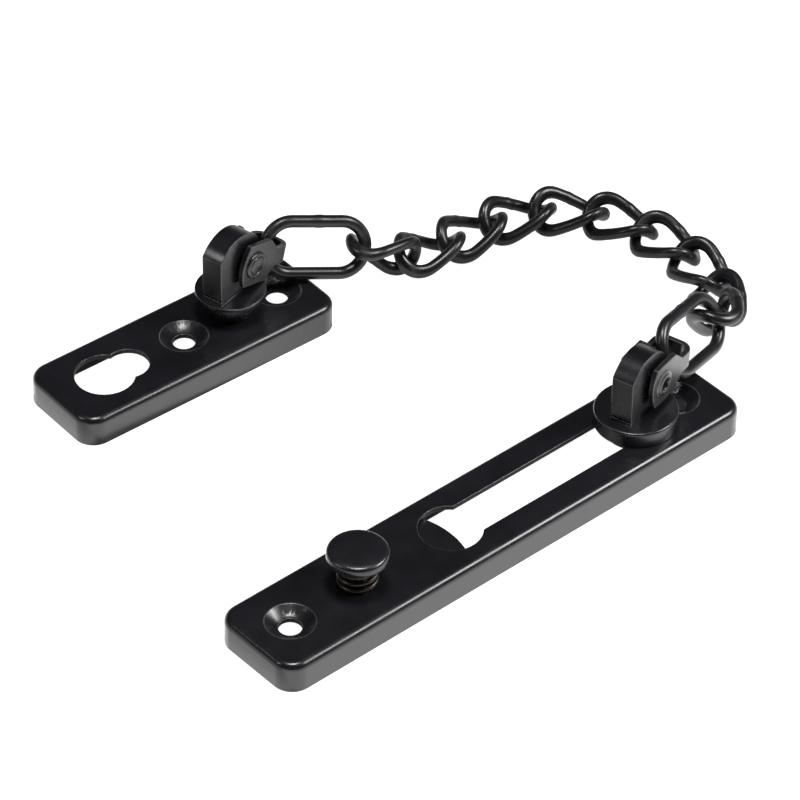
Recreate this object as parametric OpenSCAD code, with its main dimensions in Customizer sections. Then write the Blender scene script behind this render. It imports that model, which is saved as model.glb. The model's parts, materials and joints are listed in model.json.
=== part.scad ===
// Door chain guard: a slotted track plate with a sprung lock, an anchor plate,
// and a chain of twisted links that swivels and hinges at both ends.
// Origin: middle of the track plate's back face. +X along the track, +Z out of the wall.

/* [Plates] */
// Width of both plates
plate_w = 25; // [24:0.5:27]
// Height of both plates above the wall
plate_h = 7.4; // [7:0.1:8]
// Thickness of the pressed sheet
sheet_t = 1.2; // [1:0.1:1.4]
// Length of the track plate
track_len = 136; // [134:1:150]
// Length of the anchor plate
anchor_len = 72.5; // [72:0.5:80]
// Corner radius in plan
corner_r = 5; // [4:0.5:6]
// Rounding along the top edge
edge_r = 1.7; // [1.3:0.1:2]

/* [Screw holes] */
// Diameter of the screw holes
screw_hole_d = 5.3; // [4.5:0.1:5.5]
// Diameter of the countersink at the surface
sink_d = 11.4; // [10:0.2:11.6]
// Depth of the countersink
sink_depth = 1.7; // [1.4:0.1:2]
// Distance between the track plate's two screws
track_screw_span = 114.5; // [114:0.5:116]
// Distance between the anchor plate's two screws
anchor_screw_span = 27; // [26:0.5:28]

/* [Slot and keyholes] */
// Radius of the track's keyhole
keyhole_r = 7.3; // [7.2:0.1:7.6]
// Half width of the track's slot
slot_half_w = 5; // [5:0.1:5.2]
// Place of the keyhole along the track
keyhole_x = -11; // [-12:0.5:-10]
// Place of the slot's closed end
slot_end_x = 45.2; // [45.2:0.1:45.6]
// Radius of the anchor plate's keyhole
anchor_keyhole_r = 7; // [6.5:0.1:7.2]
// Radius of that keyhole's narrow end
anchor_notch_r = 5; // [4.5:0.1:5.2]

/* [Slider] */
// Place of the slider along the track
slider_x = 45; // [44.5:0.1:45]
// Radius of the slider's round base
slider_disc_r = 9.7; // [9:0.1:10]
// Height of the slider's base above the plate
slider_disc_h = 3.9; // [3.5:0.1:4.5]
// Way that the swivel post points
slider_heading = 16; // [10:1:20]

/* [Anchor post] */
// Radius of the post's shelf
shelf_r = 8.3; // [7.5:0.1:8.5]
// Height of the shelf above the plate
shelf_h = 6.5; // [6:0.1:7]
// Radius of the post's foot
foot_r = 5.3; // [5:0.1:6]
// Way that the swivel post points
anchor_heading = 13; // [8:1:16]

/* [Lugs and brackets] */
// Thickness of each post's upright lug
lug_t = 5.4; // [5:0.1:5.6]
// Half width of the lug
lug_half_w = 6.9; // [6.8:0.1:7.2]
// Height of the lug's straight sides
lug_side_h = 12.2; // [12:0.1:13]
// Rise of the lug's arched top
lug_rise = 3.4; // [3:0.1:4]
// Rivet's place in front of the lug's middle
rivet_out = 3.4; // [3.2:0.1:3.6]
// Rivet's height above the lug's base
rivet_up = 6.7; // [6.6:0.1:6.9]
// Rivet's radius
rivet_r = 1.7; // [1.6:0.1:1.8]
// Thickness of the bracket's strip
bracket_t = 1.3; // [1.2:0.1:1.4]
// Downward tilt of the track side's bracket
track_tilt = 3; // [1:1:6]
// Downward tilt of the anchor side's bracket
anchor_tilt = 19; // [16:1:20]

/* [Release button] */
// Place of the button along the track
button_x = -38; // [-39:0.5:-37]
// Radius of the button's head
button_r = 7; // [6.5:0.1:7.2]
// Height of the button's top above the plate
button_top = 9.8; // [9.4:0.1:10.2]
// Thickness of the button's head
button_t = 2.5; // [2.2:0.1:2.8]
// Outer radius of the button's spring
spring_r = 4.7; // [4.5:0.1:4.8]
// Diameter of the spring's wire
spring_wire = 1; // [0.9:0.1:1]
// Number of the spring's turns
spring_turns = 4; // [3.5:0.5:4.5]

/* [Chain] */
// Diameter of the chain's wire
wire_d = 3; // [2.8:0.1:3]
// Half length of a twisted link, along its wire's centre line
link_half = 8.4; // [8.4:0.1:8.5]
// Half width of a twisted link, along its wire's centre line
link_side = 5.4; // [5.2:0.1:5.6]
// Twist of a link from its middle to each end
link_twist = 45; // [40:1:48]
// Half width of the two long end links
end_link_side = 6.2; // [6:0.1:6.3]

/* [Hidden] */

$fn = 64;
eps = 0.01;
steel = [0.16, 0.16, 0.18];
dark_steel = [0.10, 0.10, 0.11];
spring_steel = [0.35, 0.30, 0.27];

// Fits
gap = 0.1;             // between faces that slide on each other
pin_gap = 0.05;        // around a shaft that turns in a hole
cheek_gap = 0.8;       // between a lug and each of its bracket's cheeks

// Heights
plate_under = plate_h - sheet_t;
on_plate = plate_h + gap;

// Anchor plate's place and turn on the wall
anchor_at = [-13.5, 89.5, 0];
anchor_turn = -2.5;
anchor_keyhole_x = -22.5;
anchor_notch_x = -16;
anchor_screw_x = 13.5;
anchor_post_x = 14.3;
anchor_post_y = 1;

// Slider: a round guide in the slot, and the post's pin through it
guide_r = slot_half_w - gap;
guide_foot_r = 7;
guide_foot_t = 1.5;
pin_r = 2.5;
pin_head_r = 4;
pin_head_t = 1;
slider_top = on_plate + slider_disc_h;
foot_top = plate_under - gap;
foot_bottom = foot_top - guide_foot_t;

// Anchor post: its tail through the plate, held by a washer
tail_r = 3;
washer_r = 6;
washer_t = 1.1;
shelf_rim = 1;
shelf_top = on_plate + shelf_h;

// Lug's arch: the radius through both shoulders and the crown
arch_r = (lug_half_w * lug_half_w + lug_rise * lug_rise) / (2 * lug_rise);
arch_up = lug_side_h + lug_rise - arch_r;

// Bracket: a strip folded to a U, measured from its rivet
cheek_back = 3;
cheek_bulge = 1.6;
cheek_half_h = 5.2;
cheek_front = 5;
notch_x = 8.4;
notch_half_h = 2.2;
bracket_reach = 14;
bend_r = 3.2;
bracket_in = lug_t / 2 + cheek_gap;
bracket_out = bracket_in + bracket_t;
cheek_arc_r = (cheek_half_h * cheek_half_h + cheek_bulge * cheek_bulge) / (2 * cheek_bulge);
rivet_head_r = 3.4;
rivet_head_t = 0.7;

// Button
button_shaft_r = 2.2;
button_z = plate_h + button_top;
button_edge = 0.8;
lock_t = 1.1;
lock_w = 21.6;
lock_back = -8;
lock_front = 27;
lock_arc_r = 20;
retainer_r = 3.6;
retainer_t = 0.9;
lock_top = plate_under - 0.2;
lock_bottom = lock_top - lock_t;
retainer_bottom = lock_bottom - retainer_t;

// Wire of each end link inside its bracket, measured from the rivet
track_wire_x = 8.8;
anchor_wire_x = 10.5;
end_link_roll_track = 121;
end_link_roll_anchor = 66;

// The chain's route: the points where each link hooks the next, from the anchor
// side to the track side. It drops to the wall's plane, lies there and climbs again.
route = [
    [34.7, 83.7, 12.2], [46.1, 79.3, 6.1], [59, 78.5, 4.3], [72, 78, 4], [84, 73.5, 4], [93, 64.5, 4],
    [97.5, 52, 4], [98.5, 39, 4], [95.6, 26.7, 4], [88.1, 16.5, 6.3], [78.5, 10, 13.6]
];
// How far each twisted link is rolled about its length
rolls = [-47, -5, 0, 0, 0, 0, 0, 0, 0, 40];

link_rings = 40;
link_sides = 10;
hook = wire_d / 2 + gap;

// ---------- helpers

function heading(v) = atan2(v[1], v[0]);
function climb(v) = atan2(v[2], norm([v[0], v[1]]));
function turned(p, a) = [p[0] * cos(a) - p[1] * sin(a), p[0] * sin(a) + p[1] * cos(a), p[2]];

// A point on an oval of straight half length s and end radius r, at way u round it
function oval_at(u, s, r) =
    let (side = 2 * s, bend = PI * r)
    u < side ? [u - s, -r] :
    u < side + bend ? let (t = (u - side) / r * 180 / PI) [s + r * sin(t), -r * cos(t)] :
    u < 2 * side + bend ? [s - (u - side - bend), r] :
    let (t = (u - 2 * side - bend) / r * 180 / PI) [-s - r * sin(t), r * cos(t)];
function oval_out(u, s, r) =
    let (side = 2 * s, bend = PI * r)
    u < side ? [0, -1] :
    u < side + bend ? let (t = (u - side) / r * 180 / PI) [sin(t), -cos(t)] :
    u < 2 * side + bend ? [0, 1] :
    let (t = (u - 2 * side - bend) / r * 180 / PI) [-sin(t), cos(t)];
function twisted(p, half, twist) =
    let (a = -twist * p[0] / half)
    [p[0], p[1] * cos(a) - p[2] * sin(a), p[1] * sin(a) + p[2] * cos(a)];

// Puts a link that lies along X between two points, rolled about its length
module between(from, to, roll) {
    way = to - from;
    translate((from + to) / 2)
        rotate([roll, -climb(way), heading(way)])
            children();
}

module rounded_plan(length, width, r) {
    square([length - 2 * r, width], center = true);
    square([length, width - 2 * r], center = true);
    for (x = [-1, 1], y = [-1, 1])
        translate([x * (length / 2 - r), y * (width / 2 - r)])
            circle(r);
}

// Cross-section of a bar with rounded top edges, half width w and height h
module bar_section(w, h, e) {
    translate([-w, 0])
        square([2 * w, h - e]);
    translate([-(w - e), 0])
        square([2 * (w - e), h]);
    for (x = [-1, 1])
        translate([x * (w - e), h - e])
            circle(e);
}

// A pillow-topped block: straight sides, round corners, rounded top edge
module pillow(length, width, h, r, e) {
    rotate([90, 0, 90])
        linear_extrude(length - 2 * r, center = true)
            bar_section(width / 2, h, e);
    rotate([90, 0, 0])
        linear_extrude(width - 2 * r, center = true)
            bar_section(length / 2, h, e);
    for (x = [-1, 1], y = [-1, 1])
        translate([x * (length / 2 - r), y * (width / 2 - r), 0])
            rotate_extrude()
                intersection() {
                    bar_section(r, h, e);
                    square([r + 1, h + 1]);
                }
}

module tray(length) {
    difference() {
        pillow(length, plate_w, plate_h, corner_r, edge_r);
        translate([0, 0, -1])
            linear_extrude(plate_under + 1)
                rounded_plan(length - 2 * sheet_t, plate_w - 2 * sheet_t, corner_r - sheet_t);
    }
}

// Metal pressed down below the sheet around a countersunk hole
module sink_boss() {
    translate([0, 0, plate_h - sink_depth - sheet_t])
        cylinder(h = sink_depth + sheet_t - edge_r / 4, r = screw_hole_d / 2 + 2.4);
}

module sink_cut() {
    translate([0, 0, plate_h - sink_depth])
        cylinder(h = sink_depth + eps, r1 = screw_hole_d / 2 + 0.4, r2 = sink_d / 2);
    translate([0, 0, -1])
        cylinder(h = plate_h, r = screw_hole_d / 2);
}

// Upright lug with an arched top and the rivet's cross hole, standing at z = 0
module lug() {
    difference() {
        rotate([90, 0, 0])
            linear_extrude(lug_t, center = true)
                intersection() {
                    translate([-lug_half_w, 0])
                        square([2 * lug_half_w, lug_side_h + lug_rise]);
                    translate([0, arch_up])
                        circle(arch_r, $fn = 96);
                    translate([-lug_half_w, -arch_r])
                        square([2 * lug_half_w, 3 * arch_r]);
                }
        translate([rivet_out, 0, rivet_up])
            rotate([90, 0, 0])
                cylinder(h = lug_t + 2, r = rivet_r + pin_gap, center = true);
    }
    foot_slab();
}

// The lug's straight lower part, below the reach of the arch's circle
module foot_slab() {
    translate([-lug_half_w, -lug_t / 2, 0])
        cube([2 * lug_half_w, lug_t, 1]);
}

// Side view of one cheek: arched back, straight edges, neck in front
module cheek_outline() {
    polygon([
        [-cheek_back, -cheek_half_h], [cheek_front, -cheek_half_h], [notch_x, -notch_half_h],
        [bracket_reach + 1, -notch_half_h], [bracket_reach + 1, notch_half_h],
        [notch_x, notch_half_h], [cheek_front, cheek_half_h], [-cheek_back, cheek_half_h]
    ]);
    intersection() {
        translate([cheek_arc_r - cheek_back - cheek_bulge, 0])
            circle(cheek_arc_r, $fn = 96);
        translate([-cheek_back - cheek_bulge - 1, -cheek_half_h])
            square([cheek_bulge + 2, 2 * cheek_half_h]);
    }
}

// Top view of the strip folded round the end link's wire
module strip_path() {
    difference() {
        strip_block(bracket_reach, bracket_out, bend_r);
        translate([-1, 0])
            strip_block(bracket_reach - bracket_t + 1, bracket_in, bend_r - bracket_t);
    }
}

// A block from behind the cheeks to x = reach, its front corners rounded
module strip_block(reach, half, r) {
    back = cheek_back + cheek_bulge + 1;
    translate([-back, -half])
        square([reach - r + back, 2 * half]);
    translate([-back, -(half - r)])
        square([reach + back, 2 * (half - r)]);
    for (y = [-1, 1])
        translate([reach - r, y * (half - r)])
            circle(r);
}

// Bracket with its rivet at the origin, reaching out along +X
module bracket() {
    difference() {
        intersection() {
            linear_extrude(2 * cheek_half_h + 2, center = true)
                strip_path();
            rotate([90, 0, 0])
                linear_extrude(2 * bracket_out + 2, center = true)
                    cheek_outline();
        }
        rotate([90, 0, 0])
            cylinder(h = 4 * bracket_out, r = rivet_r, center = true);
    }
}

module rivet() {
    rotate([90, 0, 0]) {
        cylinder(h = 2 * bracket_out + eps, r = rivet_r, center = true);
        for (side = [-1, 1])
            translate([0, 0, side * (bracket_out + rivet_head_t / 2)])
                cylinder(h = rivet_head_t, r = rivet_head_r, center = true);
    }
}

// A welded link along X, of the given half length and half width along its centre line:
// the wire is swept round an oval, which is then twisted from its middle to each end
module wire_link(half, side, twist) {
    s = half - side;
    way = 4 * s + 2 * PI * side;
    points = [
        for (i = [0 : link_rings - 1], j = [0 : link_sides - 1])
            let (
                u = way * i / link_rings,
                c = oval_at(u, s, side),
                n = oval_out(u, s, side),
                a = 360 * j / link_sides,
                q = wire_d / 2 * cos(a)
            )
            twisted([c[0] + q * n[0], c[1] + q * n[1], wire_d / 2 * sin(a)], half, twist)
    ];
    faces = [
        for (i = [0 : link_rings - 1], j = [0 : link_sides - 1])
            let (
                i2 = (i + 1) % link_rings,
                j2 = (j + 1) % link_sides,
                a = i * link_sides + j,
                b = i * link_sides + j2,
                c = i2 * link_sides + j2,
                d = i2 * link_sides + j
            )
            each [[a, b, c], [a, c, d]]
    ];
    polyhedron(points, faces);
}

// ---------- placing

track_rivet_at = [slider_x, 0, slider_top + rivet_up] + turned([rivet_out, 0, 0], slider_heading);
anchor_post_at = anchor_at + turned([anchor_post_x, anchor_post_y, 0], anchor_turn);
anchor_rivet_at = anchor_post_at + [0, 0, shelf_top + rivet_up]
    + turned([rivet_out, 0, 0], anchor_heading);

track_wire_at = track_rivet_at
    + turned([track_wire_x * cos(track_tilt), 0, -track_wire_x * sin(track_tilt)], slider_heading);
anchor_wire_at = anchor_rivet_at
    + turned([anchor_wire_x * cos(anchor_tilt), 0, -anchor_wire_x * sin(anchor_tilt)], anchor_heading);

module on_track_rivet() {
    translate(track_rivet_at)
        rotate([0, track_tilt, slider_heading])
            children();
}

module on_anchor_rivet() {
    translate(anchor_rivet_at)
        rotate([0, anchor_tilt, anchor_heading])
            children();
}

module on_anchor_plate() {
    translate(anchor_at)
        rotate([0, 0, anchor_turn])
            children();
}

// ---------- the pieces

module track_plate() {
    color(steel)
        difference() {
            union() {
                tray(track_len);
                for (x = [-1, 1])
                    translate([x * track_screw_span / 2, 0, 0])
                        sink_boss();
            }
            for (x = [-1, 1])
                translate([x * track_screw_span / 2, 0, 0])
                    sink_cut();
            translate([keyhole_x, 0, plate_under - 1])
                cylinder(h = sheet_t + 2, r = keyhole_r);
            translate([keyhole_x, -slot_half_w, plate_under - 1])
                cube([slot_end_x - keyhole_x, 2 * slot_half_w, sheet_t + 2]);
            translate([slot_end_x, 0, plate_under - 1])
                cylinder(h = sheet_t + 2, r = slot_half_w);
            translate([button_x, 0, plate_under - 1])
                cylinder(h = sheet_t + 2, r = button_shaft_r + pin_gap);
        }
}

module locking_plate() {
    color(dark_steel)
        translate([button_x, 0, lock_bottom])
            difference() {
                linear_extrude(lock_t)
                    intersection() {
                        translate([lock_back, -lock_w / 2])
                            square([lock_front - lock_back, lock_w]);
                        translate([lock_front - lock_arc_r, 0])
                            circle(lock_arc_r, $fn = 96);
                    }
                translate([0, 0, -1])
                    cylinder(h = lock_t + 2, r = button_shaft_r);
            }
}

module release_button() {
    color(steel)
        translate([button_x, 0, 0])
            rotate_extrude()
                union() {
                    translate([0, button_z - button_t])
                        square([button_r - button_edge, button_t]);
                    translate([0, button_z - button_t])
                        square([button_r, button_t - button_edge]);
                    translate([button_r - button_edge, button_z - button_edge])
                        circle(button_edge);
                    translate([0, lock_bottom - retainer_t])
                        square([button_shaft_r, button_z - lock_bottom]);
                }
}

module button_retainer() {
    color(dark_steel)
        translate([button_x, 0, retainer_bottom])
            difference() {
                cylinder(h = retainer_t, r = retainer_r);
                translate([0, 0, -1])
                    cylinder(h = retainer_t + 2, r = button_shaft_r);
            }
}

module button_spring() {
    low = plate_h + spring_wire / 2 + eps;
    high = button_z - button_t - spring_wire / 2 - eps;
    r = spring_r - spring_wire / 2;
    sides = 8;
    steps = spring_turns * 20;
    points = [
        for (i = [0 : steps], j = [0 : sides - 1])
            let (
                a = 360 * spring_turns * i / steps,
                b = 360 * j / sides,
                q = r + spring_wire / 2 * cos(b),
                z = low + (high - low) * i / steps
            )
            [q * cos(a), q * sin(a), z + spring_wire / 2 * sin(b)]
    ];
    walls = [
        for (i = [0 : steps - 1], j = [0 : sides - 1])
            let (
                j2 = (j + 1) % sides,
                a = i * sides + j,
                b = i * sides + j2,
                c = (i + 1) * sides + j2,
                d = (i + 1) * sides + j
            )
            each [[a, b, c], [a, c, d]]
    ];
    first = [for (j = [0 : sides - 1]) sides - 1 - j];
    last = [for (j = [0 : sides - 1]) steps * sides + j];
    color(spring_steel)
        translate([button_x, 0, 0])
            polyhedron(points, concat(walls, [first, last]));
}

module slider_guide() {
    color(dark_steel)
        translate([slider_x, 0, 0])
            difference() {
                union() {
                    translate([0, 0, foot_bottom])
                        cylinder(h = guide_foot_t, r = guide_foot_r);
                    translate([0, 0, foot_bottom])
                        cylinder(h = plate_h + gap / 2 - foot_bottom, r = guide_r);
                }
                cylinder(h = plate_h + 2, r = pin_r + pin_gap);
            }
}

module slider_post() {
    color(steel)
        translate([slider_x, 0, 0]) {
            rotate_extrude()
                union() {
                    translate([0, on_plate])
                        square([slider_disc_r - 0.6, slider_disc_h]);
                    translate([0, on_plate])
                        square([slider_disc_r, slider_disc_h - 0.6]);
                    translate([slider_disc_r - 0.6, slider_top - 0.6])
                        circle(0.6);
                    translate([0, foot_bottom - gap - pin_head_t])
                        square([pin_r, on_plate + 1 - foot_bottom + gap + pin_head_t]);
                    translate([0, foot_bottom - gap - pin_head_t])
                        square([pin_head_r, pin_head_t]);
                }
            translate([0, 0, slider_top])
                rotate([0, 0, slider_heading])
                    lug();
        }
}

module anchor_post() {
    washer_bottom = plate_under - gap - washer_t;
    color(steel)
        translate(anchor_post_at) {
            rotate_extrude()
                polygon([
                    [0, shelf_top], [shelf_r, shelf_top], [shelf_r, shelf_top - shelf_rim],
                    [foot_r, on_plate], [tail_r, on_plate], [tail_r, washer_bottom],
                    [tail_r + 1, washer_bottom], [tail_r + 1, washer_bottom - pin_head_t],
                    [0, washer_bottom - pin_head_t]
                ]);
            translate([0, 0, shelf_top])
                rotate([0, 0, anchor_heading])
                    lug();
        }
}

module anchor_washer() {
    color(dark_steel)
        translate(anchor_post_at + [0, 0, plate_under - gap - washer_t])
            difference() {
                cylinder(h = washer_t, r = washer_r);
                translate([0, 0, -1])
                    cylinder(h = washer_t + 2, r = tail_r);
            }
}

module anchor_plate() {
    color(steel)
        on_anchor_plate()
            difference() {
                union() {
                    tray(anchor_len);
                    for (x = [-1, 1])
                        translate([anchor_screw_x + x * anchor_screw_span / 2, 0, 0])
                            sink_boss();
                }
                for (x = [-1, 1])
                    translate([anchor_screw_x + x * anchor_screw_span / 2, 0, 0])
                        sink_cut();
                translate([anchor_keyhole_x, 0, plate_under - 1])
                    cylinder(h = sheet_t + 2, r = anchor_keyhole_r);
                translate([anchor_notch_x, 0, plate_under - 1])
                    cylinder(h = sheet_t + 2, r = anchor_notch_r);
                translate([anchor_post_x, anchor_post_y, plate_under - 1])
                    cylinder(h = sheet_t + 2, r = tail_r + pin_gap);
            }
}

module track_bracket() {
    color(steel)
        on_track_rivet()
            bracket();
}

module anchor_bracket() {
    color(steel)
        on_anchor_rivet()
            bracket();
}

module track_rivet() {
    color(dark_steel)
        on_track_rivet()
            rivet();
}

module anchor_rivet() {
    color(dark_steel)
        on_anchor_rivet()
            rivet();
}

// The end links reach from a bracket to just past the first or last hook point
module track_end_link() {
    start = route[len(route) - 1];
    way = (track_wire_at - start) / norm(track_wire_at - start);
    from = start - hook * way;
    color(steel)
        between(from, track_wire_at, end_link_roll_track)
            wire_link(norm(track_wire_at - from) / 2, end_link_side, 0);
}

module anchor_end_link() {
    start = route[0];
    way = (start - anchor_wire_at) / norm(start - anchor_wire_at);
    to = start + hook * way;
    color(steel)
        between(anchor_wire_at, to, end_link_roll_anchor)
            wire_link(norm(to - anchor_wire_at) / 2, end_link_side, 0);
}

module twist_link(i) {
    color(steel)
        between(route[i - 1], route[i], rolls[i - 1])
            wire_link(link_half, link_side, link_twist);
}

track_plate();
locking_plate();
release_button();
button_retainer();
button_spring();
slider_guide();
slider_post();
track_bracket();
track_rivet();
track_end_link();
twist_link(1);  // twist_link_01
twist_link(2);  // twist_link_02
twist_link(3);  // twist_link_03
twist_link(4);  // twist_link_04
twist_link(5);  // twist_link_05
twist_link(6);  // twist_link_06
twist_link(7);  // twist_link_07
twist_link(8);  // twist_link_08
twist_link(9);  // twist_link_09
twist_link(10);  // twist_link_10
anchor_end_link();
anchor_bracket();
anchor_rivet();
anchor_post();
anchor_washer();
anchor_plate();
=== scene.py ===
# %% [markdown]
# # A door chain guard
# A door chain guard is two pressed plates and a chain between them. This lesson dresses
# the engineer's model of one: the plates, posts and brackets keep their exact shape and
# get the soft edges that pressing and painting leave, and the chain, the rivets, the
# button and its spring are modelled again, finely enough to carry a clean highlight.

# %% Open the frame
import json
import math

import bmesh
import bpy
from mathutils import Matrix, Vector


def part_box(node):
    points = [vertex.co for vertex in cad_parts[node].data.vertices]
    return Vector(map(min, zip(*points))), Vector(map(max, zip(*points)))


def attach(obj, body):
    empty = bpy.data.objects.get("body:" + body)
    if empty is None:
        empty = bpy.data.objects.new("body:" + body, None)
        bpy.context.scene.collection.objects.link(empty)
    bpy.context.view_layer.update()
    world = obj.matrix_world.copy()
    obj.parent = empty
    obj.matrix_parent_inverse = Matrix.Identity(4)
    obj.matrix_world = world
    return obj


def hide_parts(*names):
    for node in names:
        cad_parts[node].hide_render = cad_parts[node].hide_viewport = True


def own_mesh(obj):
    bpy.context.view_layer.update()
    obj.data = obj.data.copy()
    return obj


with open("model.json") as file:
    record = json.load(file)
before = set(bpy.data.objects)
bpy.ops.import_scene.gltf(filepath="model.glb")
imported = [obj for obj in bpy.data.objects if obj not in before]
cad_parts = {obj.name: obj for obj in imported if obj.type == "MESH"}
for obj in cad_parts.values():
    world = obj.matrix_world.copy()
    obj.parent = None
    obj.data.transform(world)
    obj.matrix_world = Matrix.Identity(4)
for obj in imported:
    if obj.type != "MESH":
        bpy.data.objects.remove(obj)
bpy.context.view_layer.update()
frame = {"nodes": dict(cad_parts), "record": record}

MM = 0.001
joints = {j["name"]: j for j in frame["record"]["behaviour"]["joints"]}
print("nodes:", len(frame["nodes"]), " joints:", len(joints))

# %% [markdown]
# ## The camera
# The guard lies on a table, seen from above over its near left corner with a long lens.
# A long lens keeps parallel edges nearly parallel, as catalogues like them. The camera
# is placed by its heading, its height and its distance from a point on the table.

# %% Camera
def look(heading, height, lean, target, distance, lens):
    """A camera that looks along a heading, down by a height angle, leaned a little."""
    a, e, t = (math.radians(v) for v in (heading, height, lean))
    ahead = Vector((math.cos(e) * math.cos(a), math.cos(e) * math.sin(a), -math.sin(e)))
    level = ahead.cross(Vector((0, 0, 1))).normalized()
    up = level.cross(ahead)
    right = level * math.cos(t) + up * math.sin(t)
    data = bpy.data.cameras.new("catalogue_camera")
    data.lens = lens
    data.clip_end = 10
    camera = bpy.data.objects.new("catalogue_camera", data)
    bpy.context.collection.objects.link(camera)
    turn = Matrix((right, right.cross(ahead), -ahead)).transposed()
    camera.matrix_world = Matrix.Translation(target - ahead * distance) @ turn.to_4x4()
    return camera


camera = look(48.2, 40.25, 0.84, Vector((15.1, 46.5, 0)) * MM, 1105.6 * MM, 217)
bpy.context.scene.camera = camera
print("camera at", [round(v, 3) for v in camera.location])

# %% [markdown]
# ## The studio
# Black lacquer shows almost nothing of its own colour: it shows what stands round it.
# The white table glows at the front, so the upright walls turn grey, and glows less at
# the back, so the wire stays dark to its edge. Three small soft lights, above, to the
# right and to the left, draw the white lines along rounded edges and down the wire. The
# room's own light fades from the table's level up to near dark, so the flat tops stay
# black. The table looks white to the camera itself, except for three painted shadows,
# and only its glow on the pieces changes. A studio would use black cards, called flags,
# for this: here each flag is a box of the table with less glow. Under the plates the glow
# is nearly off, and the three painted shadows are dark spots of the table seen through
# screw holes.

# %% Table, room and lights
def node_tree(holder):
    """Switches nodes on and empties the tree."""
    holder.use_nodes = True
    holder.node_tree.nodes.clear()
    return holder.node_tree


def wire(tree, source, out, target, into):
    tree.links.new(source.outputs[out], target.inputs[into])


def spread(tree, source, out, low, high, new_low, new_high):
    """Maps a range of a pattern onto another range."""
    made = tree.nodes.new("ShaderNodeMapRange")
    ends = {"From Min": low, "From Max": high, "To Min": new_low, "To Max": new_high}
    for name, value in ends.items():
        made.inputs[name].default_value = value
    wire(tree, source, out, made, "Value")
    return made


def shade_box(tree, place, glow, low, high, share):
    """Dims the table's glow inside a box of the table, to a share of what it was. It makes
    the flags on the glow that lights the pieces, and the painted shadows on the white that
    the camera sees.
    """
    inside = tree.nodes.new("ShaderNodeVectorMath")
    inside.operation = "MULTIPLY_ADD"
    wire(tree, place, "Object", inside, 0)
    inside.inputs[1].default_value = (2 / (high[0] - low[0]), 2 / (high[1] - low[1]), 0)
    inside.inputs[2].default_value = (
        -(high[0] + low[0]) / (high[0] - low[0]), -(high[1] + low[1]) / (high[1] - low[1]), 0,
    )
    size = tree.nodes.new("ShaderNodeVectorMath")
    size.operation = "ABSOLUTE"
    wire(tree, inside, "Vector", size, 0)
    split = tree.nodes.new("ShaderNodeSeparateXYZ")
    wire(tree, size, "Vector", split, "Vector")
    widest = tree.nodes.new("ShaderNodeMath")
    widest.operation = "MAXIMUM"
    wire(tree, split, "X", widest, 0)
    wire(tree, split, "Y", widest, 1)
    dim = spread(tree, widest, "Value", 0.94, 1.0, share, 1)
    product = tree.nodes.new("ShaderNodeMath")
    product.operation = "MULTIPLY"
    wire(tree, dim, "Result", product, 0)
    tree.links.new(glow.outputs[0], product.inputs[1])
    return product


FRONT_GLOW, BACK_GLOW = 1.9, 0.35
UNDER_PLATE, BESIDE_PLATE, PAINTED_SHADOW_SHARE = 0.1, 0.35, 0.02
TABLE_RADIUS = 3
track_low, track_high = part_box("track_plate")
anchor_low, anchor_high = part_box("anchor_plate")
flags = [
    (track_low, track_high, UNDER_PLATE),
    (anchor_low, anchor_high, UNDER_PLATE),
    ((track_low[0] - 0.2, track_low[1]), (track_low[0], anchor_low[1]), BESIDE_PLATE),
    ((anchor_low[0] - 0.2, anchor_low[1]), (anchor_low[0], anchor_high[1] + 0.1), BESIDE_PLATE),
]
# Painted shadows: three boxes under screw holes where the white the camera sees is painted dark.
painted_shadow_boxes = [
    ((0.0575, 0.001), (0.068, 0.0115)),
    ((0.0, 0.0905), (0.0115, 0.101)),
    ((-0.0512, 0.0), (-0.045, 0.0115)),
]


def make_table_top():
    bm = bmesh.new()
    bmesh.ops.create_circle(bm, cap_ends=True, radius=TABLE_RADIUS, segments=64)
    mesh = bpy.data.meshes.new("table_top")
    bm.to_mesh(mesh)
    bm.free()
    top = bpy.data.objects.new("table_top", mesh)
    bpy.context.collection.objects.link(top)
    mesh.transform(Matrix.Translation((0, 0, -0.05 * MM)))
    material = bpy.data.materials.new("table_white")
    tree = node_tree(material)
    shader = tree.nodes.new("ShaderNodeBsdfPrincipled")
    shader.inputs["Base Color"].default_value = (0.3, 0.3, 0.3, 1)
    shader.inputs["Roughness"].default_value = 0.9
    shader.inputs["Emission Color"].default_value = (1, 1, 1, 1)
    place = tree.nodes.new("ShaderNodeTexCoord")
    depth = tree.nodes.new("ShaderNodeVectorMath")
    depth.operation = "DOT_PRODUCT"
    depth.inputs[1].default_value = (0.667, 0.745, 0)
    wire(tree, place, "Object", depth, "Vector")
    glow = spread(tree, depth, "Value", 50 * MM, 90 * MM, FRONT_GLOW, BACK_GLOW)
    for low, high, share in flags:
        glow = shade_box(tree, place, glow, low, high, share)
    rays = tree.nodes.new("ShaderNodeLightPath")
    seen = tree.nodes.new("ShaderNodeMix")
    wire(tree, rays, "Is Camera Ray", seen, "Factor")
    tree.links.new(glow.outputs[0], seen.inputs["A"])
    seen_table_and_painted_shadows = spread(tree, depth, "Value", 0, 1, 1, 1)
    # Paints the shadows seen through the screw holes into the white the camera sees.
    for low, high in painted_shadow_boxes:
        seen_table_and_painted_shadows = shade_box(tree, place, seen_table_and_painted_shadows, low, high, PAINTED_SHADOW_SHARE)
    tree.links.new(seen_table_and_painted_shadows.outputs[0], seen.inputs["B"])
    wire(tree, seen, "Result", shader, "Emission Strength")
    out = tree.nodes.new("ShaderNodeOutputMaterial")
    wire(tree, shader, "BSDF", out, "Surface")
    mesh.materials.append(material)


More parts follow.
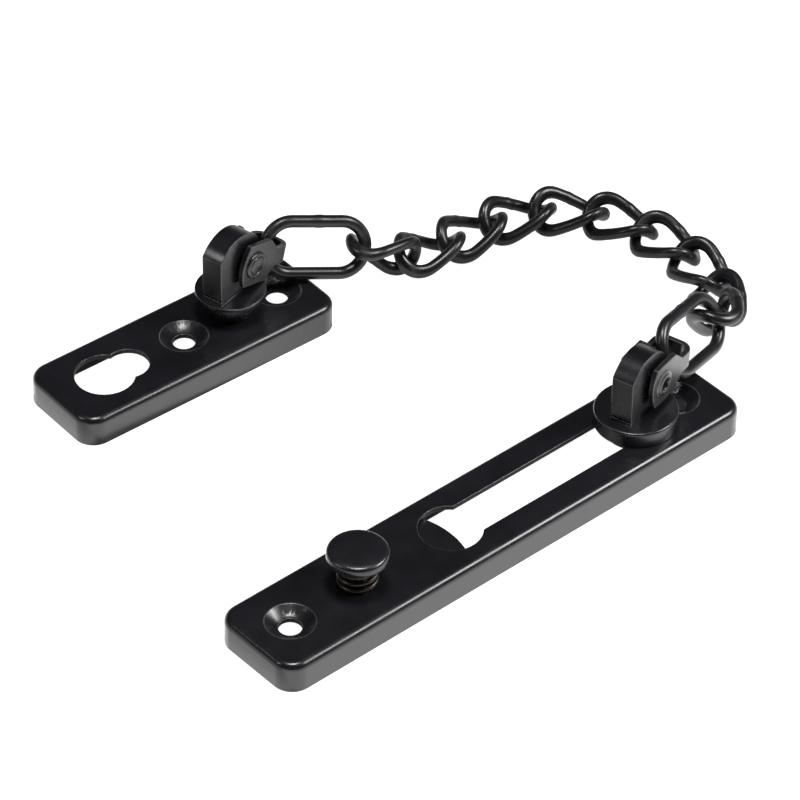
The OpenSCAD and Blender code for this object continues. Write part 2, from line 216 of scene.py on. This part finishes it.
def make_room():
    world = bpy.data.worlds.new("room")
    bpy.context.scene.world = world
    tree = node_tree(world)
    coords = tree.nodes.new("ShaderNodeTexCoord")
    split = tree.nodes.new("ShaderNodeSeparateXYZ")
    ramp = tree.nodes.new("ShaderNodeValToRGB")
    ramp.color_ramp.elements[0].position = 0.0
    ramp.color_ramp.elements[0].color = (0.45, 0.45, 0.45, 1)
    ramp.color_ramp.elements[1].position = 0.3
    ramp.color_ramp.elements[1].color = (0.03, 0.03, 0.035, 1)
    back = tree.nodes.new("ShaderNodeBackground")
    back.inputs["Strength"].default_value = 1.0
    out = tree.nodes.new("ShaderNodeOutputWorld")
    wire(tree, coords, "Generated", split, "Vector")
    wire(tree, split, "Z", ramp, "Fac")
    wire(tree, ramp, "Color", back, "Color")
    wire(tree, back, "Background", out, "Surface")


def soft_light(name, at, aim, width, depth, brightness):
    """A rectangular soft light. Brightness is what its surface would read on a meter."""
    data = bpy.data.lights.new(name, "AREA")
    data.shape = "RECTANGLE"
    data.size, data.size_y = width, depth
    data.energy = brightness * math.pi * width * depth
    light = bpy.data.objects.new(name, data)
    bpy.context.collection.objects.link(light)
    light.location = at
    light.rotation_mode = "QUATERNION"
    light.rotation_quaternion = (Vector(aim) - Vector(at)).to_track_quat("-Z", "Y")
    return light


make_table_top()
make_room()
soft_light("overhead", (0.0, 0.02, 0.9), (0.0, 0.04, 0), 0.25, 0.25, 30)
soft_light("right_key", (0.6, -0.42, 0.75), (0, 0.04, 0), 0.35, 0.3, 30)
soft_light("left_strip", (-0.75, 0.45, 0.8), (0, 0.05, 0), 0.12, 0.3, 14)
bpy.context.scene.view_settings.view_transform = "Standard"

# %% [markdown]
# ## The finishes
# Every steel piece is black, but not the same black. The plates and posts carry baked
# powder, with a faint orange-peel skin. The chain is dipped in a glossier lacquer. The
# folded brackets are rolled strip, smoother and greyer. All of them turn a little lighter
# at the edges, partly wear and partly a painted highlight. One function makes the coat,
# with the skin and the patchiness as nodes on the object's own coordinates, so the
# pattern stays put when a piece moves. The lighter edge follows an attribute of the mesh,
# which the softened pieces set on every rounded edge, where it is wear and a painted
# highlight, and the links set inside their bends, where they really get rubbed.

# %% A black coat
def noise(tree, coords, scale, detail):
    made = tree.nodes.new("ShaderNodeTexNoise")
    made.inputs["Scale"].default_value = scale
    made.inputs["Detail"].default_value = detail
    wire(tree, coords, "Object", made, "Vector")
    return made


def blend_colours(tree, factor, out, first, second):
    """A colour mix. The first may be a colour or another mix node."""
    made = tree.nodes.new("ShaderNodeMix")
    made.data_type = "RGBA"
    wire(tree, factor, out, made, "Factor")
    if isinstance(first, tuple):
        made.inputs[6].default_value = first
    else:
        tree.links.new(first.outputs[2], made.inputs[6])
    made.inputs[7].default_value = second
    return made


# Colour of the lighter edges: bare metal where worn, and a painted highlight along rounded edges.
SCUFF_AND_HIGHLIGHT_COLOUR = (0.22, 0.21, 0.2, 1)


def black_coat(name, tone, gloss_low, gloss_high, peel, metal=0.0, shine=0.5, scuff_and_highlight_amount=0.1):
    """tone is the coat's own colour, gloss_low to gloss_high its roughness, peel its skin."""
    material = bpy.data.materials.new(name)
    tree = node_tree(material)
    coords = tree.nodes.new("ShaderNodeTexCoord")
    shader = tree.nodes.new("ShaderNodeBsdfPrincipled")
    out = tree.nodes.new("ShaderNodeOutputMaterial")
    wire(tree, shader, "BSDF", out, "Surface")
    shader.inputs["Metallic"].default_value = metal
    shader.inputs["Specular IOR Level"].default_value = shine
    patches = noise(tree, coords, 160, 5)
    rough = spread(tree, patches, "Fac", 0.3, 0.7, gloss_low, gloss_high)
    wire(tree, rough, "Result", shader, "Roughness")
    dust = spread(tree, noise(tree, coords, 60, 3), "Fac", 0.35, 0.75, 0, 1)
    lighter = tuple(c * 1.8 for c in tone[:3]) + (1,)
    body = blend_colours(tree, dust, "Result", tone, lighter)
    # The edge mark lightens the coat toward bare metal: wear, and on rounded edges a painted highlight.
    edge_scuff_and_highlight = tree.nodes.new("ShaderNodeAttribute")
    edge_scuff_and_highlight.attribute_name = "edge_scuff_and_highlight"
    scuffed_and_highlit = spread(tree, patches, "Fac", 0.4, 0.65, 0.3 * scuff_and_highlight_amount, scuff_and_highlight_amount)
    edges = tree.nodes.new("ShaderNodeMath")
    edges.operation = "MULTIPLY"
    wire(tree, edge_scuff_and_highlight, "Fac", edges, 0)
    wire(tree, scuffed_and_highlit, "Result", edges, 1)
    scuff_and_highlight_mark = blend_colours(tree, edges, "Value", body, SCUFF_AND_HIGHLIGHT_COLOUR)
    tree.links.new(scuff_and_highlight_mark.outputs[2], shader.inputs["Base Color"])
    skin = tree.nodes.new("ShaderNodeBump")
    skin.inputs["Strength"].default_value = peel
    skin.inputs["Distance"].default_value = 0.02 * MM
    wire(tree, noise(tree, coords, 1500, 3), "Fac", skin, "Height")
    wire(tree, skin, "Normal", shader, "Normal")
    return material


powder = black_coat("black_powder", (0.0045, 0.0044, 0.0058, 1), 0.24, 0.32, 0.12, scuff_and_highlight_amount=0.3)
lacquer = black_coat("chain_lacquer", (0.005, 0.005, 0.006, 1), 0.26, 0.34, 0.1, shine=0.4, scuff_and_highlight_amount=0.2)
rolled_strip = black_coat("rolled_strip", (0.006, 0.006, 0.007, 1), 0.26, 0.36, 0.12, scuff_and_highlight_amount=0.3)
# A lighter, shinier copy of the rolled strip for the track bracket: painted light, for the brighter light
# its cheek catches.
painted_lit_strip = black_coat("painted_lit_strip", (0.007, 0.007, 0.008, 1), 0.28, 0.38, 0.12, shine=0.65, scuff_and_highlight_amount=0.3)
rivet_black = black_coat("rivet_black", (0.008, 0.008, 0.009, 1), 0.25, 0.35, 0.15, scuff_and_highlight_amount=0.4)
# A darker, duller copy of the black for the pieces under the plates: painted shade for where they sit.
painted_shade_black = black_coat("painted_shade_black", (0.004, 0.004, 0.005, 1), 0.3, 0.4, 0.3, shine=0.35)
spring_steel = black_coat("spring_steel", (0.03, 0.024, 0.02, 1), 0.25, 0.4, 0.1, metal=0.8, scuff_and_highlight_amount=0.2)
print("finishes:", len(bpy.data.materials))

# %% [markdown]
# ## Putting a piece in its place
# Each new piece is a bmesh. It becomes an object at the origin with its place in its
# mesh, shaded smooth but for its sharp edges. Then it stands for a piece of the frame
# and rides on that piece's body.

# %% From bmesh to piece
BODY_OF = {
    node: body
    for body, nodes in frame["record"]["behaviour"]["bodies"].items()
    for node in nodes
}


def piece(bm, node, material, crease=35, weighted=False):
    """Makes the mesh into the piece that stands for a node of the frame."""
    name = node + "_finished"
    mesh = bpy.data.meshes.new(name)
    bm.to_mesh(mesh)
    bm.free()
    mesh.shade_smooth()
    mesh.set_sharp_from_angle(angle=math.radians(crease))
    made = bpy.data.objects.new(name, mesh)
    bpy.context.collection.objects.link(made)
    mesh.materials.append(material)
    if weighted:
        flat = made.modifiers.new("flat faces stay flat", "WEIGHTED_NORMAL")
        flat.keep_sharp = True
        flat.weight = 100
    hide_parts(node)
    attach(made, BODY_OF[node])
    return made

# %% [markdown]
# ## Soft edges on exact shapes
# A pressed plate or a turned post has no truly sharp edge: the die, the tool and the
# paint round them all. The exact shape is copied, its loose triangles are merged and its
# flat faces made whole, and then every sharp outer edge is bevelled by a fraction of a
# millimetre. That hairline round catches the light. Its faces are marked for a lighter
# coat, which is partly wear, since an edge is rubbed before a face is, and partly a
# painted highlight along the edge.

# %% Soften the plates and the posts
def soften(node, material, width, steps=3, sharp=30):
    """A copy of a node with each edge sharper than an angle rounded by a width in mm."""
    bm = bmesh.new()
    bm.from_mesh(frame["nodes"][node].data)
    bmesh.ops.remove_doubles(bm, verts=bm.verts, dist=0.002 * MM)
    bmesh.ops.dissolve_limit(bm, angle_limit=math.radians(1), verts=bm.verts, edges=bm.edges)
    edges = [
        e for e in bm.edges
        if len(e.link_faces) == 2 and e.is_convex
        and e.calc_face_angle() > math.radians(sharp)
    ]
    rounded = bmesh.ops.bevel(
        bm, geom=edges, offset=width * MM, offset_type="OFFSET", segments=steps,
        profile=0.5, affect="EDGES", clamp_overlap=True, material=-1,
    )
    # Marks the rounded faces for the lighter coat: wear and a painted highlight.
    scuff_and_highlight_mark = bm.loops.layers.float.new("edge_scuff_and_highlight")
    for face in rounded["faces"]:
        for corner in face.loops:
            corner[scuff_and_highlight_mark] = 1.0
    print(node, "edges rounded:", len(edges), "faces:", len(bm.faces))
    return piece(bm, node, material, weighted=True)


soften("track_plate", powder, 0.22)
soften("anchor_plate", powder, 0.22)
soften("slider_post", powder, 0.28)
soften("anchor_post", powder, 0.28)
# The track bracket takes the lighter copy of the strip black: painted light.
soften("track_bracket", painted_lit_strip, 0.2)
soften("anchor_bracket", rolled_strip, 0.2)
# The locking plate under the keyhole takes the darker black: painted shade.
soften("locking_plate", painted_shade_black, 0.15)

# %% [markdown]
# ## The chain
# Each small link starts as a straight length of wire, is bent round a former into an
# oval, is welded shut, and is given a quarter turn of twist so that the chain lies flat.
# The model follows the same steps: a circle is swept round one bend, along one side,
# round the other bend and back, its ends are merged, the weld is swelled a little, and
# then the whole loop is twisted about its length.

# %% Bend a link from wire
WIRE = 1.5 * MM
HOOK = WIRE + 0.1 * MM
ROUND = 24
BEND_STEPS = 28
SIDE_STEPS = 12
WELD_REACH = 0.9 * MM


def bend(bm, section, centre):
    """Sweeps a section of wire half way round a bend."""
    swept = bmesh.ops.spin(
        bm, geom=section, cent=centre, axis=(0, 0, 1), angle=math.pi, steps=BEND_STEPS,
        use_merge=False, use_duplicate=False,
    )
    return swept["geom_last"]


def run(bm, section, length):
    """Draws a section of wire out along X."""
    swept = bmesh.ops.spin(
        bm, geom=section, cent=(0, 0, 0), axis=(0, 0, 1), angle=0, steps=SIDE_STEPS,
        dvec=(length / SIDE_STEPS, 0, 0), use_merge=False, use_duplicate=False,
    )
    return swept["geom_last"]


def wire_loop(half, side):
    """An oval loop of wire along X, of a half length and half width along its middle."""
    s = half - side
    bm = bmesh.new()
    bmesh.ops.create_circle(bm, cap_ends=False, radius=WIRE, segments=ROUND)
    upright = Matrix.Rotation(math.pi / 2, 3, "Y")
    bmesh.ops.rotate(bm, verts=bm.verts, cent=(0, 0, 0), matrix=upright)
    bmesh.ops.translate(bm, verts=bm.verts, vec=(s, -side, 0))
    section = bm.verts[:] + bm.edges[:]
    section = bend(bm, section, (s, 0, 0))
    section = run(bm, section, -2 * s)
    section = bend(bm, section, (-s, 0, 0))
    run(bm, section, 2 * s)
    bmesh.ops.remove_doubles(bm, verts=bm.verts, dist=0.01 * MM)
    bmesh.ops.recalc_face_normals(bm, faces=bm.faces)
    return bm


def weld(bm, at, side, swell):
    """Swells the wire where its two ends were butted and welded on one long side."""
    near = [v for v in bm.verts if abs(v.co.x - at) < WELD_REACH and v.co.y > 0.6 * side]
    for v in near:
        middle = Vector((v.co.x, side, 0))
        bulge = 1 + swell * math.cos((v.co.x - at) / WELD_REACH * math.pi / 2)
        v.co = middle + (v.co - middle) * bulge


def rub_ends(bm, half):
    """Marks the bare spots where a link rubs on the next one, inside its two bends."""
    scuff_and_highlight_mark = bm.verts.layers.float.new("edge_scuff_and_highlight")
    for v in bm.verts:
        reach = (abs(v.co.x) - (half - 2.2 * MM)) / (2 * MM)
        inside = abs(v.co.x) < half - 0.3 * MM
        v[scuff_and_highlight_mark] = 0.7 * max(0.0, min(1.0, reach)) if inside else 0.0


def twist(bm, half, turn):
    """Turns each slice of the loop about X, by an angle that grows along it."""
    for v in bm.verts:
        v.co = Matrix.Rotation(-turn * v.co.x / half, 3, "X") @ v.co


def lay_between(bm, start, end, roll):
    """Moves a loop that lies along X to lie between two points."""
    way = end - start
    heading = math.atan2(way.y, way.x)
    climb = math.atan2(way.z, math.hypot(way.x, way.y))
    place = (
        Matrix.Translation((start + end) / 2)
        @ Matrix.Rotation(heading, 4, "Z")
        @ Matrix.Rotation(-climb, 4, "Y")
        @ Matrix.Rotation(math.radians(roll), 4, "X")
    )
    bmesh.ops.transform(bm, matrix=place, verts=bm.verts)

# %% [markdown]
# The frame's chain hinges sit exactly where one link hooks the next, so the links are
# laid between them, from the anchor plate to the slider. Most lie flat; the first two
# and the last are rolled, because they climb to the brackets.

# %% Lay the ten twisted links
LINK_HALF, LINK_SIDE = 8.4 * MM, 5.4 * MM
TWIST = math.radians(45)
ROLLS = [-47, -5, 0, 0, 0, 0, 0, 0, 0, 40]
hooks = [Vector(joints["chain_hinge_%02d" % k]["pos_m"]) for k in range(11, 0, -1)]

for i, roll in enumerate(ROLLS):
    loop = wire_loop(LINK_HALF, LINK_SIDE)
    weld(loop, 0, LINK_SIDE, 0.07)
    rub_ends(loop, LINK_HALF)
    twist(loop, LINK_HALF, TWIST)
    lay_between(loop, hooks[i], hooks[i + 1], roll)
    piece(loop, "twist_link_%02d" % (i + 1), lacquer, crease=60)
print("chain length:", round(sum((b - a).length for a, b in zip(hooks, hooks[1:])), 4))

# %% [markdown]
# ## The two long links
# A long flat link joins the chain to each bracket. It is the same wire bent round wider
# formers, left without twist so that it can fold flat against its bracket.

# %% Lay the long end links
END_SIDE = 6.2 * MM


def end_link(node, start, end, roll, weld_at):
    half = (end - start).length / 2
    loop = wire_loop(half, END_SIDE)
    weld(loop, weld_at, END_SIDE, 0.09)
    rub_ends(loop, half)
    lay_between(loop, start, end, roll)
    piece(loop, node, lacquer, crease=60)
    print(node, "half length", round(half, 4))


anchor_wire = Vector(joints["anchor_link_swing"]["pos_m"])
way = (hooks[0] - anchor_wire).normalized()
end_link("anchor_end_link", anchor_wire, hooks[0] + HOOK * way, 66, 0.5 * MM)
track_wire = Vector(joints["track_link_swing"]["pos_m"])
way = (track_wire - hooks[-1]).normalized()
end_link("track_end_link", hooks[-1] - HOOK * way, track_wire, 121, 0.0)

# %% [markdown]
# ## The rivets
# The anchor's rivet has a flat pressed head inside a shallow ring. The slider's is
# hollow: its rolled rim leaves a dark cup in the middle. Both are turned shapes, so half
# of the outline is drawn from the axis to the rim, spun round, and laid along the hinge.

# %% Turn and set the rivets
def turned(outline, steps=64):
    """Spins an outline of (radius, height) pairs in mm, which begins and ends on the axis."""
    bm = bmesh.new()
    points = [bm.verts.new((r * MM, 0, z * MM)) for r, z in outline]
    lines = [bm.edges.new(pair) for pair in zip(points, points[1:])]
    bmesh.ops.spin(
        bm, geom=points + lines, cent=(0, 0, 0), axis=(0, 0, 1), angle=2 * math.pi,
        steps=steps, use_merge=True, use_duplicate=False,
    )
    bmesh.ops.remove_doubles(bm, verts=bm.verts, dist=0.004 * MM)
    bmesh.ops.recalc_face_normals(bm, faces=bm.faces)
    return bm


RIVET_R, RIVET_SHOULDER = 1.68, 4.85


def rivet(node, hinge, head, material):
    """head is the outline of one head, from the axis outwards and down to its underside."""
    outline = head + [(RIVET_R, RIVET_SHOULDER), (RIVET_R, -RIVET_SHOULDER)]
    outline += [(r, -z) for r, z in reversed(head)]
    bm = turned(outline)
    along = Vector((0, 0, 1)).rotation_difference(Vector(joints[hinge]["axis"]))
    place = Matrix.Translation(joints[hinge]["pos_m"]) @ along.to_matrix().to_4x4()
    bmesh.ops.transform(bm, matrix=place, verts=bm.verts)
    piece(bm, node, material, crease=40)


FLAT_HEAD = [
    (0, 5.42), (1.9, 5.42), (2.05, 5.36), (2.15, 5.2), (2.3, 5.2), (2.4, 5.36),
    (2.55, 5.42), (3.05, 5.38), (3.28, 5.22), (3.38, 5.0), (3.38, 4.82),
]
HOLLOW_HEAD = [
    (0, 4.2), (1.0, 4.2), (1.25, 4.35), (1.35, 4.9), (1.45, 5.25), (1.65, 5.46), (2.0, 5.5),
    (2.4, 5.4), (2.7, 5.15), (2.95, 5.02), (3.2, 4.98), (3.34, 4.92), (3.38, 4.82),
]
rivet("anchor_rivet", "anchor_bracket_hinge", FLAT_HEAD, rivet_black)
rivet("track_rivet", "track_bracket_hinge", HOLLOW_HEAD, rivet_black)

# %% [markdown]
# ## The release button
# The button is turned: a low round head with a softened rim on a straight shaft. Its top
# is very slightly domed, which stretches the reflection across it.

# %% Turn the button
head_low, head_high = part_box("release_button")
button_x = (head_low[0] + head_high[0]) / 2
BUTTON = [
    (0, 17.2), (3, 17.18), (5.2, 17.1), (6.1, 16.98), (6.55, 16.8), (6.85, 16.48), (6.98, 16.1),
    (7, 15.6), (7, 14.95), (6.9, 14.75), (6.7, 14.7), (2.2, 14.7), (2.2, 4.1), (0, 4.1),
]
bm = turned(BUTTON, steps=96)
bmesh.ops.translate(bm, verts=bm.verts, vec=(button_x, 0, 0))
piece(bm, "release_button", powder, crease=50)
print("button at", round(button_x, 4))

# %% [markdown]
# ## The spring
# The spring is wound from thin wire. A spin that also rises makes a coil in one step.
# Its first and last half turns rise less, as a real spring's closed ends do. The real
# spring is squashed along its length when the button goes in.

# %% Wind the spring
SPRING_R, SPRING_WIRE, TURNS = 4.2 * MM, 0.5 * MM, 4
SPRING_LOW, SPRING_HIGH = 7.93 * MM, 14.17 * MM
END_TURN, END_RISE = 0.5, 0.04


def coil(bm, section, turns, rise):
    steps = int(40 * turns)
    swept = bmesh.ops.spin(
        bm, geom=section, cent=(0, 0, 0), axis=(0, 0, 1), angle=2 * math.pi * turns, steps=steps,
        dvec=(0, 0, rise / steps), use_merge=False, use_duplicate=False,
    )
    return swept["geom_last"]


bm = bmesh.new()
bmesh.ops.create_circle(bm, cap_ends=True, radius=SPRING_WIRE, segments=14)
upright = Matrix.Rotation(math.pi / 2, 3, "X")
bmesh.ops.rotate(bm, verts=bm.verts, cent=(0, 0, 0), matrix=upright)
bmesh.ops.translate(bm, verts=bm.verts, vec=(SPRING_R, 0, SPRING_LOW))
section = bm.verts[:] + bm.edges[:]
height = SPRING_HIGH - SPRING_LOW
middle = (TURNS - 2 * END_TURN, 1 - 2 * END_RISE)
for turns, rise in ((END_TURN, END_RISE), middle, (END_TURN, END_RISE)):
    section = coil(bm, section, turns, height * rise)
bmesh.ops.holes_fill(bm, edges=[e for e in bm.edges if e.is_boundary])
bmesh.ops.remove_doubles(bm, verts=bm.verts, dist=0.001 * MM)
bmesh.ops.recalc_face_normals(bm, faces=bm.faces)
bmesh.ops.translate(bm, verts=bm.verts, vec=(button_x, 0, 0))
spring = piece(bm, "button_spring", spring_steel, crease=60)
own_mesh(spring)
print("spring from", round(SPRING_LOW, 4), "to", round(SPRING_HIGH, 4))

# %% [markdown]
# ## The pieces under the plates
# The guide's foot, the collar and the washer are plain turned pieces that hardly show.
# They keep their exact shape and get a darker, duller copy of the black: painted shade
# for their place under the plates.

# %% Paint the hidden pieces
for node in ("slider_guide", "button_retainer", "anchor_washer"):
    mesh = frame["nodes"][node].data
    mesh.materials.clear()
    mesh.materials.append(painted_shade_black)
    print(node, "painted")
